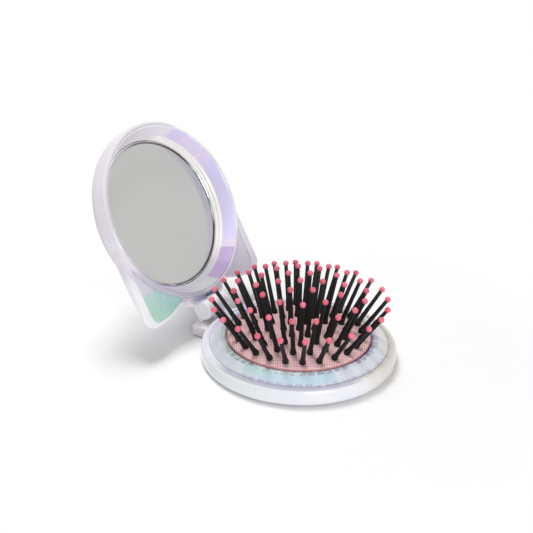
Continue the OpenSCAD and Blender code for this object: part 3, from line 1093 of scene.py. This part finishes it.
@dataclass
class Cushion:
    """Rubber cushion under woven mesh, on the plate that pops it up.

    Between the rolled edge and the foot its side is drawn in to a waist. The dimples round the
    pins reach dimple_near, add up to dimple_most where they meet, and fade over calm at the rim.
    """

    radius: float = 26.4
    edge_z: float = 9.85
    crown: float = 1.7
    foot_z: float = 6.9
    skirt: float = 1.9
    rubber: float = 1.7
    waist: float = 0.35
    rim_inset: float = 1.0
    edge_round: float = 0.9
    edge_from_deg: float = 68.0
    shoulder_drop: float = 0.1
    edge_drop: float = 0.82
    top_rings: int = 56
    under_rings: int = 12
    sides: int = 208
    dimple: float = 0.28
    dimple_r: float = 1.7
    dimple_near: float = 4.0
    dimple_most: float = 1.2
    ripple: float = 0.05
    ripple_rate: float = 0.55
    calm: float = 1.2

    def height(self, radius: float) -> float:
        """Height of the smooth crown at a distance from the middle."""
        return self.edge_z + self.crown * (1 - (radius / self.radius) ** 2)

    def section(self) -> list[Point]:
        """Draws half a section of the pad.

        Returns:
            Its points, from the middle of the crown round to that of the underside.
        """
        rim = self.radius - self.rim_inset
        top = [(rim * i / self.top_rings, self.height(rim * i / self.top_rings))
               for i in range(self.top_rings + 1)]
        shoulder = self.height(rim) - self.shoulder_drop
        edge = arc((self.radius - self.edge_round, shoulder - self.edge_drop), self.edge_round,
                   self.edge_from_deg, 0, 6)
        middle = (self.foot_z + shoulder) / 2
        side = [(self.radius - 0.7 * self.waist, middle + 0.5),
                (self.radius - self.waist, middle),
                (self.radius - self.waist, self.foot_z + 0.45),
                (self.radius - 0.05, self.foot_z + 0.05)]
        inner = self.radius - self.skirt
        rings = [inner * (1 - i / self.under_rings) for i in range(self.under_rings + 1)]
        under = [(flat, self.height(flat) - self.rubber) for flat in rings]
        return top + edge + side + [(inner, self.foot_z)] + under

    def pad(self, roots: Sequence[Vector]) -> None:
        """Builds the pad, drawn in round each pin and rippled a little.

        Args:
            roots: where the pins leave it.
        """
        rim = self.radius - self.rim_inset
        pad = Blank().turned(self.section(), self.sides, closed=False)
        for v in pad.bm.verts:
            flat = v.co.xy.length
            if v.co.z < self.height(flat) - 0.5 or flat > rim:
                continue
            sink = sum(math.exp(-((v.co.xy - p.xy).length / self.dimple_r) ** 2) for p in roots
                       if max(abs(v.co.x - p.x), abs(v.co.y - p.y)) < self.dimple_near)
            rate = self.ripple_rate
            ripple = noise.noise(Vector((v.co.x * rate, v.co.y * rate, 3.0)))
            lift = -self.dimple * min(sink, self.dimple_most) + self.ripple * ripple
            v.co.z += lift * min(1.0, (rim - flat) / self.calm)
        made = pad.piece("rubber_pad", MeshFabric().material(), Body.CUSHION, Slot.RUBBER,
                         ["cushion_pad"], sharp_deg=60)

    def build(self, roots: Sequence[Vector]) -> None:
        """Builds the pad and dresses the plate."""
        self.pad(roots)
        dress("push_plate", PLATE_PLASTIC.material())


class BristlePart(Enum):
    """Pin or ball, with the names of its pieces and of its nodes, and its slot."""

    PIN = ("pins", "pin", Slot.NYLON)
    BALL = ("balls", "tip", Slot.PINK)


@dataclass
class Bristles:
    """Rings of black pins with pink balls, splayed from the cushion's crown.

    A ball starts to grip its pin at grip times its radius below its middle, and is shortened
    below that to grip_keep. keep is not used.
    """

    cushion: Cushion
    rings: int = 4
    whole_rings: int = 2
    per_ring: int = 6
    root_pitch: float = 5.65
    tip_pitch: float = 8.0
    top: float = 31.4
    dome: float = 70.0
    turn_deg: float = 6.0
    ball: float = 1.1
    ball_sides: int = 18
    ball_rings: int = 12
    grip: float = 0.6
    grip_keep: float = 0.75
    tip_r: float = 0.7
    shaft_r: float = 0.88
    foot_r: float = 1.24
    pin_sides: int = 14
    keep: float = 0.33

    def root(self, k: int) -> Vector:
        """Where a pin of ring k leaves the cushion, before it is turned to its place."""
        flat = k * self.root_pitch
        return Vector((flat, 0, self.cushion.height(flat)))

    def tip(self, k: int) -> Vector:
        """Centre of the ball on a pin of ring k, before it is turned to its place."""
        flat = k * self.tip_pitch
        return Vector((flat, 0, self.top - self.dome + math.sqrt(self.dome ** 2 - flat ** 2)))

    def angles(self, k: int) -> list[float]:
        """Angles of the pins of ring k, in degrees."""
        count = max(1, self.per_ring * k)
        return [self.turn_deg + i * 360 / count for i in range(count)]

    def place(self, k: int, angle: float) -> Matrix:
        """Stands something built along Z on a pin's root.

        Args:
            k: the ring.
            angle: where the pin stands on it, in degrees.

        Returns:
            The matrix.
        """
        line = self.tip(k) - self.root(k)
        tilt = Matrix.Rotation(math.atan2(line.x, line.z), 4, "Y")
        turn = Matrix.Rotation(math.radians(angle), 4, "Z")
        return turn @ Matrix.Translation(self.root(k)) @ tilt

    def roots(self) -> list[Vector]:
        """Roots of all the pins."""
        return [self.place(k, angle).to_translation()
                for k in range(self.rings + 1) for angle in self.angles(k)]

    def pin(self, k: int) -> Blank:
        """Makes one pin along Z: a flared foot that runs smoothly into a tapered shaft.

        Args:
            k: its ring.

        Returns:
            The pin, closed.
        """
        line = self.tip(k) - self.root(k)
        long, foot, shaft = line.length, self.foot_r, self.shaft_r
        low = foot * math.tan(math.atan2(line.x, line.z)) * 0.6 - 0.3
        return Blank().turned([
            (0, low - 0.5), (shaft, low - 0.5), (foot - 0.12, low), (foot, low + 0.25),
            (foot, low + 0.6), (foot * 0.9, low + 1.1), (shaft + 0.08, low + 2.1),
            (shaft, low + 3.2), (self.tip_r + 0.05, long * 0.6), (self.tip_r, long - 0.8),
            (self.tip_r, long - 0.3), (0, long - 0.2)], self.pin_sides, closed=False)

    def head(self, k: int) -> Blank:
        """Makes the ball of a pin, a little shorter where it grips the shaft.

        Args:
            k: its ring.

        Returns:
            The ball, closed.
        """
        low = -self.grip * self.ball
        ball = Blank()
        bmesh.ops.create_uvsphere(ball.bm, u_segments=self.ball_sides,
                                  v_segments=self.ball_rings, radius=self.ball)
        for v in ball.bm.verts:
            if v.co.z < low:
                v.co.z = low + self.grip_keep * (v.co.z - low)
        return ball.moved(Matrix.Translation((0, 0, (self.tip(k) - self.root(k)).length)))

    def group(self, kind: BristlePart, k: int, angles: Sequence[float], number: int,
              material: bpy.types.Material) -> None:
        """Makes the pins or the balls of a part of one ring, as one piece.

        Args:
            kind: pins or balls.
            k: the ring.
            angles: the angles of those pins.
            number: the number of this part of the ring.
            material: the finish.
        """
        pieces, nodes, slot = kind.value
        one = self.pin(k) if kind is BristlePart.PIN else self.head(k)
        places = [self.place(k, angle) for angle in angles]
        whole = Blank()
        for place in places:
            whole.stamp(one, place)
        node = f"{nodes}_ring_{k}" if k else f"{nodes}_centre"
        made = whole.piece(f"{pieces}_{k}_{number}", material, Body.CUSHION, slot, [node])
        anchor = sum((p.to_translation() for p in places), Vector()) / len(places)
        tuple(anchor * MM)
        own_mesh(made)

    def build(self) -> None:
        """Builds every ring; the two outer ones are made in sixths."""
        nylon, resin = Nylon().material(), BallResin().material()
        for k in range(self.rings + 1):
            angles = self.angles(k)
            parts = self.per_ring if k > self.whole_rings else 1
            share = len(angles) // parts
            for number in range(parts):
                some = angles[number * share:(number + 1) * share]
                self.group(BristlePart.PIN, k, some, number, nylon)
                self.group(BristlePart.BALL, k, some, number, resin)


@dataclass
class Lid:
    """Round lid with cat ears: dish, sloping liner, bright ring and mirror.

    All of it is made as on the closed lid. Knuckles and heels are made as they stand open. arm_low
    and heel_slope are counted from the hinge axis, and glass_ground is how far the mirror's edge
    is ground back.
    """

    radius: float = 34.4
    inner: float = 33.0
    rim: float = 7.3
    rim_round: float = 1.0
    lip_round: float = 0.35
    slope_from: float = 12.8
    floor_r: float = 30.2
    floor: float = 16.5
    back: float = 17.8
    crown: float = 1.3
    crown_r: float = 28.0
    crown_steps: int = 8
    corner: float = 5.0
    mirror_z: float = 15.3
    mirror_r: float = 27.9
    ring_r: float = 28.8
    ring_depth: float = 0.46
    glass_r: float = 28.35
    glass_play: float = 0.05
    glass_thick: float = 1.0
    glass_ground: float = 0.15
    ear_z: float = 9.7
    ear_x: float = 35.1
    ear_y: float = 36.7
    ear_round: float = 4.5
    ear_root: float = 3.8
    ear_tip: float = 1.5
    ear_sink: float = 0.45
    ear_back_round: float = 1.2
    ear_front_round: float = 0.75
    ear_clear: float = 0.3
    ear_thin_from: float = 0.8
    ear_wall: float = 33.35
    ear_wall_degs: tuple[int, ...] = (71, 62, 53, 44, 35, 26, 17, 10)
    ear_side: tuple[Point, ...] = ((34.1, 4.6), (34.42, 12.0), (34.8, 22.0))
    ear_brow: tuple[Point, ...] = (
        (27.6, 36.68), (24.8, 36.5), (22.2, 36.1), (19.8, 35.4), (17.6, 34.55), (15.6, 33.75),
        (13.8, 33.15), (12.0, 32.9))
    film: float = 0.3
    film_sunk: float = 0.03
    film_wall: float = 34.0
    film_wall_degs: tuple[int, ...] = (68, 63, 58, 53, 48, 43, 38, 33, 28, 23)
    film_edge: tuple[Point, ...] = (
        (31.65, 14.2), (31.6, 24.0), (31.6, 31.0), (31.2, 33.4), (30.3, 34.8), (29.0, 35.45),
        (26.0, 35.6), (22.5, 35.25), (19.5, 34.5), (17.2, 33.6), (15.2, 32.85), (13.3, 32.35))
    neck_side: tuple[Point, ...] = (
        (13.2, 30.7), (12.7, 33.0), (11.5, 33.5), (10.6, 34.5), (10.1, 35.8), (9.4, 36.8),
        (8.2, 37.3))
    neck_thick: float = 3.0
    neck_free: float = 33.2
    neck_edge: float = 0.5
    arm_half: float = 6.3
    arm_root: float = 33.3
    arm_top: float = 13.1
    arm_bend: float = 36.4
    arm_low: Point = (-3.0, -1.0)
    arm_high: float = 3.6
    knuckle_from: float = 2.7
    knuckle_to: float = 6.5
    knuckle_edge: float = 0.8
    notch_r: float = 4.9
    notch_half: float = 2.65
    heel_inset: float = 0.15
    heel_drop: float = 4.9
    heel_flat: float = 2.0
    heel_slope: Point = (2.8, -1.6)
    heel_edge: float = 0.3
    opening_play: float = 0.05
    opening_z: Point = (9.0, 12.78)
    bore_from: float = -5.6
    bore_play: float = 0.05
    cap_r: float = 1.72
    cap_from: float = 4.7
    liner_back: tuple[Point, ...] = (
        (32.6, 7.42), (32.8, 7.36), (32.96, 7.45), (32.96, 9.6), (30.05, 15.2))
    liner_face: tuple[Point, ...] = (
        (28.95, 14.75), (29.03, 14.45), (29.25, 14.2), (29.5, 14.12), (29.62, 13.95),
        (29.64, 13.55), (29.8, 13.25), (30.08, 13.1), (30.28, 12.85), (30.4, 12.4),
        (31.4, 10.1), (32.15, 8.2), (32.4, 7.6))

    def dish(self) -> Blank:
        """Turns the wall and the gently crowned back.

        Returns:
            The dish, closed.
        """
        flat, steps = self.radius - self.corner, self.crown_steps
        crown = [(self.crown_r * i / steps,
                  self.back + self.crown * (1 - (self.crown_r * i / steps / flat) ** 2))
                 for i in range(steps + 1)]
        dish = Blank().turned(crown + [
            (self.radius, self.back), (self.radius, self.rim), (self.inner, self.rim),
            (self.inner, self.slope_from), (self.floor_r, self.floor), (0, self.floor)],
            closed=False)
        dish.round_ring((self.radius, self.back), self.corner, 10)
        dish.round_ring((self.radius, self.rim), self.rim_round, 6)
        dish.round_ring((self.inner, self.rim), self.lip_round, 3)
        return dish.tidy()

    def ear_thickness(self, flat: float) -> float:
        """Thins an ear from its root to its tip.

        Args:
            flat: a distance from the lid's middle.

        Returns:
            How thick the ear is there.
        """
        reach = math.hypot(self.ear_x - self.ear_round, self.ear_y - self.ear_round)
        reach += self.ear_round
        share = (reach ** 2 - flat ** 2) / (reach ** 2 - self.radius ** 2)
        return self.ear_tip + (self.ear_root - self.ear_tip) * min(share, 1.0)

    def ear_outline(self, side: int) -> list[Point]:
        """Outline of one ear: its root inside the wall, its long side, its tip and its brow.

        Args:
            side: 1 for +X, -1 for -X.

        Returns:
            The outline, in X and Y.
        """
        turns = [math.radians(a) for a in self.ear_wall_degs]
        root = [(self.ear_wall * math.cos(t), self.ear_wall * math.sin(t)) for t in turns]
        tip = arc((self.ear_x - self.ear_round, self.ear_y - self.ear_round), self.ear_round,
                  0, 90, 8)
        return [(side * x, y) for x, y in root + [*self.ear_side] + tip + [*self.ear_brow]]

    def ear_face(self, side: int) -> list[Point]:
        """Outline of the sunk face of one ear, which ends inside the lid's wall.

        Args:
            side: 1 for +X, -1 for -X.

        Returns:
            The outline, in X and Y.
        """
        turns = [math.radians(a) for a in self.film_wall_degs]
        wall = [(self.film_wall * math.cos(t), self.film_wall * math.sin(t)) for t in turns]
        return [(side * x, y) for x, y in wall + [*self.film_edge]]

    def ear(self, side: int) -> Blank:
        """One ear: a slab that thins towards its tip, with rounded edges and a sunk face.

        Args:
            side: 1 for +X, -1 for -X.

        Returns:
            The ear, closed.
        """
        ear = Blank().slab(self.ear_outline(side), self.ear_z, self.ear_z + self.ear_root)
        back = next(f for f in ear.bm.faces if f.normal.z > 0.9)
        ear.bevel(list(back.edges), self.ear_back_round, 4)
        front = next(f for f in ear.bm.faces if f.normal.z < -0.9)
        clear = self.radius + self.ear_clear  # edges nearer than this lie inside the wall
        ear.bevel([e for e in front.edges if all(v.co.xy.length > clear for v in e.verts)],
                  self.ear_front_round, 5)
        backs = [f for f in ear.bm.faces if f.normal.z > 0.9 and len(f.verts) > 4]
        cut = set(bmesh.ops.triangulate(ear.bm, faces=backs)["faces"])
        within = [e for e in ear.bm.edges if cut.issuperset(e.link_faces)]
        bmesh.ops.subdivide_edges(ear.bm, edges=within, cuts=3, use_grid_fill=True)
        for v in ear.bm.verts:
            up = v.co.z - self.ear_z
            if up > self.ear_thin_from:
                thin = self.ear_thickness(v.co.xy.length) / self.ear_root
                v.co.z = self.ear_z + up * thin
        pocket = Blank().slab(self.ear_face(side), self.ear_z - 1, self.ear_z + self.ear_sink)
        return ear.tidy().joined(pocket, Join.CUT).tidy()

    def neck(self) -> Blank:
        """Makes the plate that carries the lid's wall on to the hinge, arched at both sides.

        Returns:
            The plate, closed.
        """
        outline = [(-x, y) for x, y in self.neck_side] + [*self.neck_side[::-1]]
        neck = Blank().slab(outline, self.ear_z, self.ear_z + self.neck_thick)
        free = [e for e in neck.sharp_edges()
                if min(v.co.y for v in e.verts) > self.neck_free]
        return neck.bevel(free, self.neck_edge)

    def arm(self) -> Blank:
        """Makes the bar under the neck, down to the hinge axis.

        Returns:
            The bar, closed.
        """
        return Blank().bar([
            (self.arm_root, self.ear_z),
            (HINGE.y + self.arm_low[0], HINGE.z + self.arm_low[1]), (HINGE.y, HINGE.z),
            (HINGE.y, HINGE.z + self.arm_high), (self.arm_bend, self.arm_top),
            (self.arm_root, self.arm_top)], -self.arm_half, self.arm_half)

    def knuckle(self, side: int) -> Blank:
        """One knuckle with the heel that stops the open lid, as it stands open.

        Args:
            side: 1 for +X, -1 for -X.

        Returns:
            The knuckle, closed.
        """
        ends = sorted((side * self.knuckle_from, side * self.knuckle_to))
        knuckle = Blank().rod(HINGE.barrel_r, *ends)
        knuckle.bevel(knuckle.sharp_edges(60), self.knuckle_edge, 5).tidy()
        low = HINGE.z - self.heel_drop
        heel = Blank().bar([
            (HINGE.y, HINGE.z), (HINGE.y, low), (HINGE.y + self.heel_flat, low),
            (HINGE.y + self.heel_slope[0], HINGE.z + self.heel_slope[1])],
            ends[0] + self.heel_inset, ends[1] - self.heel_inset)
        heel.bevel(heel.sharp_edges(), self.heel_edge).tidy()
        return knuckle.joined(heel, Join.FUSE)

    def shell(self) -> None:
        """Builds the dish with ears, neck, arm, knuckles and stop heels."""
        shell = self.dish()
        for side in (1, -1):
            shell.joined(self.ear(side), Join.FUSE)
        shell.joined(self.neck(), Join.FUSE).joined(self.arm(), Join.FUSE).tidy()
        opening, (low, high) = self.inner - self.opening_play, self.opening_z
        shell.joined(Blank().turned([(0, low), (opening, low), (opening, high), (0, high)],
                                    closed=False), Join.CUT)
        shell.joined(Blank().rod(self.notch_r, -self.notch_half, self.notch_half), Join.CUT)
        shell.moved(HINGE.swing())
        for side in (1, -1):
            shell.joined(self.knuckle(side), Join.FUSE)
        bore, end = HINGE.pin_r + self.bore_play, self.knuckle_to + HINGE.bore_over
        shell.joined(Blank().rod(bore, self.bore_from, end, HINGE.bore_sides), Join.CUT)
        shell.joined(Blank().rod(self.cap_r, self.cap_from, end, HINGE.bore_sides), Join.CUT)
        shell.tidy().piece("lid_body", LID_PEARL.material(), Body.LID, Slot.LID, ["lid_shell"])

    def ear_film(self, name: str, side: int, finish: EarFilm) -> None:
        """Lays a coloured film into the sunk face of one ear.

        Args:
            name: the piece's name.
            side: 1 for +X, -1 for -X.
            finish: the film's colours.
        """
        low = self.ear_z + self.ear_sink
        film = Blank().slab(self.ear_face(side), low - self.film_sunk, low + self.film)
        film.moved(HINGE.swing()).piece(name, finish.material(), Body.LID, Slot.LID)

    def liner(self) -> None:
        """Builds the funnel between rim and mirror, with two beads along its inner edge."""
        liner = Blank().turned([
            *self.liner_back, (self.liner_back[-1][0], self.floor),
            (self.liner_face[0][0], self.floor), *self.liner_face])
        liner.moved(HINGE.swing()).tidy().piece(
            "lid_funnel", LINER_FILM.material(), Body.LID, Slot.LINER, ["lid_liner"])

    def ring(self) -> None:
        """Builds the bright ring that holds the mirror."""
        inner, outer, top = self.mirror_r, self.ring_r, self.mirror_z
        face, seat = top - self.ring_depth, self.glass_r + self.glass_play
        ring = Blank().turned([
            (inner, top), (inner + 0.08, top - 0.3), (inner + 0.28, face), (outer - 0.3, face),
            (outer - 0.08, top - 0.32), (outer, top - 0.05), (outer, self.floor),
            (seat, self.floor), (seat, top)])
        ring.moved(HINGE.swing()).tidy().piece(
            "mirror_ring", RING_CHROME.material(), Body.LID, Slot.CHROME, ["mirror_frame"])

    def mirror(self) -> None:
        """Builds the mirror, with its edge ground back a little."""
        edge, top, back = self.mirror_r, self.mirror_z, self.mirror_z + self.glass_thick
        glass = Blank().turned([
            (0, top), (edge - self.glass_ground, top), (edge, top + 0.06),
            (self.glass_r, top + 0.08), (self.glass_r, back), (0, back)], closed=False)
        glass.moved(HINGE.swing()).piece("mirror_face", Silvering().material(), Body.LID,
                                         Slot.SILVER, ["mirror_glass"], sharp_deg=20)

    def build(self) -> None:
        """Builds the lid and dresses what stays of the CAD."""
        self.shell()
        self.ear_film("ear_film_left", -1, MINT_FILM)
        self.ear_film("ear_film_right", 1, LILAC_FILM)
        self.liner()
        self.ring()
        self.mirror()
        dress("mirror_tape", TAPE_FOAM.material())
        dress("hinge_cap", CAP_PLASTIC.material())


# Studio

@dataclass(frozen=True)
class Lamp:
    """A square soft lamp: its place and aim in metres, its side in metres and power in watts."""

    name: str
    place: Point3
    aim: Point3
    size: float
    power: float
    mirrored: bool = True

    def hang(self) -> None:
        """Adds the lamp, left out of reflections where it isn't mirrored."""
        data = bpy.data.lights.new(self.name, "AREA")
        data.size, data.energy = self.size, self.power
        lamp = bpy.data.objects.new(self.name, data)
        lamp.visible_glossy = self.mirrored
        turn = (Vector(self.place) - Vector(self.aim)).to_track_quat("Z", "Y")
        lamp.matrix_world = Matrix.Translation(self.place) @ turn.to_matrix().to_4x4()
        bpy.context.scene.collection.objects.link(lamp)


@dataclass
class Studio:
    """Camera, lamps, room and floor. The camera's numbers were fitted to the photograph.

    The floor turns white between shadow_from and shadow_to, and by shadow_lift everywhere.
    """

    azimuth: float = -56.03
    elevation: float = 25.03
    roll: float = 0.96
    distance: float = 420.05
    lens: float = 76.65
    sensor: float = 36.0
    target: Point3 = (0.0, 0.0, 4.0)
    shift_right: float = -11.84
    shift_up: float = 29.8
    clip: Point = (0.01, 50.0)
    room_light: float = 0.34
    floor_half: float = 4.0
    shadow_from: float = 64.0
    shadow_to: float = 122.0
    shadow_lift: float = 0.05
    lamps: tuple[Lamp, ...] = (
        Lamp("key", (0.08, 0.215, 0.66), (0, 0, 0), 0.28, 3.0, mirrored=False),
        Lamp("front", (-0.40, -0.56, 0.25), (0, 0, 0.03), 0.3, 2.6))

    def camera(self) -> None:
        """Sets the camera at the photograph's viewing angle."""
        a, e, r = (math.radians(v) for v in (self.azimuth, self.elevation, self.roll))
        back = Vector((math.sin(a) * math.cos(e), -math.cos(a) * math.cos(e), math.sin(e)))
        level = Vector((math.cos(a), math.sin(a), 0))
        upright = back.cross(level)
        right = level * math.cos(r) + upright * math.sin(r)
        up = -level * math.sin(r) + upright * math.cos(r)
        aside = self.shift_right * right + self.shift_up * up
        centre = (Vector(self.target) + aside + back * self.distance) * MM
        data = bpy.data.cameras.new("camera")
        data.lens, data.sensor_width = self.lens, self.sensor
        data.clip_start, data.clip_end = self.clip
        eye = bpy.data.objects.new("camera", data)
        turn = Matrix((right, up, back)).transposed().to_4x4()
        eye.matrix_world = Matrix.Translation(centre) @ turn
        bpy.context.scene.collection.objects.link(eye)
        bpy.context.scene.camera = eye

    def room(self) -> None:
        """Builds a plain room, white where it is seen directly or in a reflection."""
        world = bpy.data.worlds.new("room")
        world.use_nodes = True
        tree = Tree(world.node_tree)
        strength = tree.node("ShaderNodeMapRange", inputs={
            "Value": tree.watched(), "To Min": self.room_light, "To Max": 1.0})
        tree.end("ShaderNodeOutputWorld", tree.node("ShaderNodeBackground", inputs={
            "Color": (1, 1, 1, 1), "Strength": strength}))
        bpy.context.scene.world = world

    def floor(self) -> None:
        """Lays a plain pale floor, which keeps the shadow close to the brush and fades to white."""
        bm = bmesh.new()
        bmesh.ops.create_grid(bm, x_segments=1, y_segments=1, size=self.floor_half)
        mesh = bpy.data.meshes.new("floor")
        bm.to_mesh(mesh)
        bm.free()
        floor = bpy.data.objects.new("floor", mesh)
        bpy.context.scene.collection.objects.link(floor)
        r = Recipe("floor paper")
        paint = r.node("ShaderNodeBsdfDiffuse", inputs={"Color": (0.95, 0.95, 0.95, 1)})
        white = r.node("ShaderNodeEmission", inputs={"Strength": 1.0})
        faded = r.radius.rise(self.shadow_from, self.shadow_to) * (1 - self.shadow_lift)
        mesh.materials.append(r.shown(r.node("ShaderNodeMixShader", inputs={
            0: r.watched() * (faded + self.shadow_lift), 1: paint, 2: white})))

    def build(self) -> None:
        """Sets up the whole studio."""
        self.camera()
        self.room()
        for lamp in self.lamps:
            lamp.hang()
        self.floor()
        bpy.context.scene.view_settings.view_transform = "Standard"


def main() -> None:
    """Builds the studio and the brush."""
    logging.basicConfig(level=logging.INFO, format="%(name)s: %(message)s")
    Studio().build()
    Base().build()
    cushion = Cushion()
    bristles = Bristles(cushion)
    cushion.build(bristles.roots())
    bristles.build()
    Lid().build()


if __name__ == "__main__":
    main()
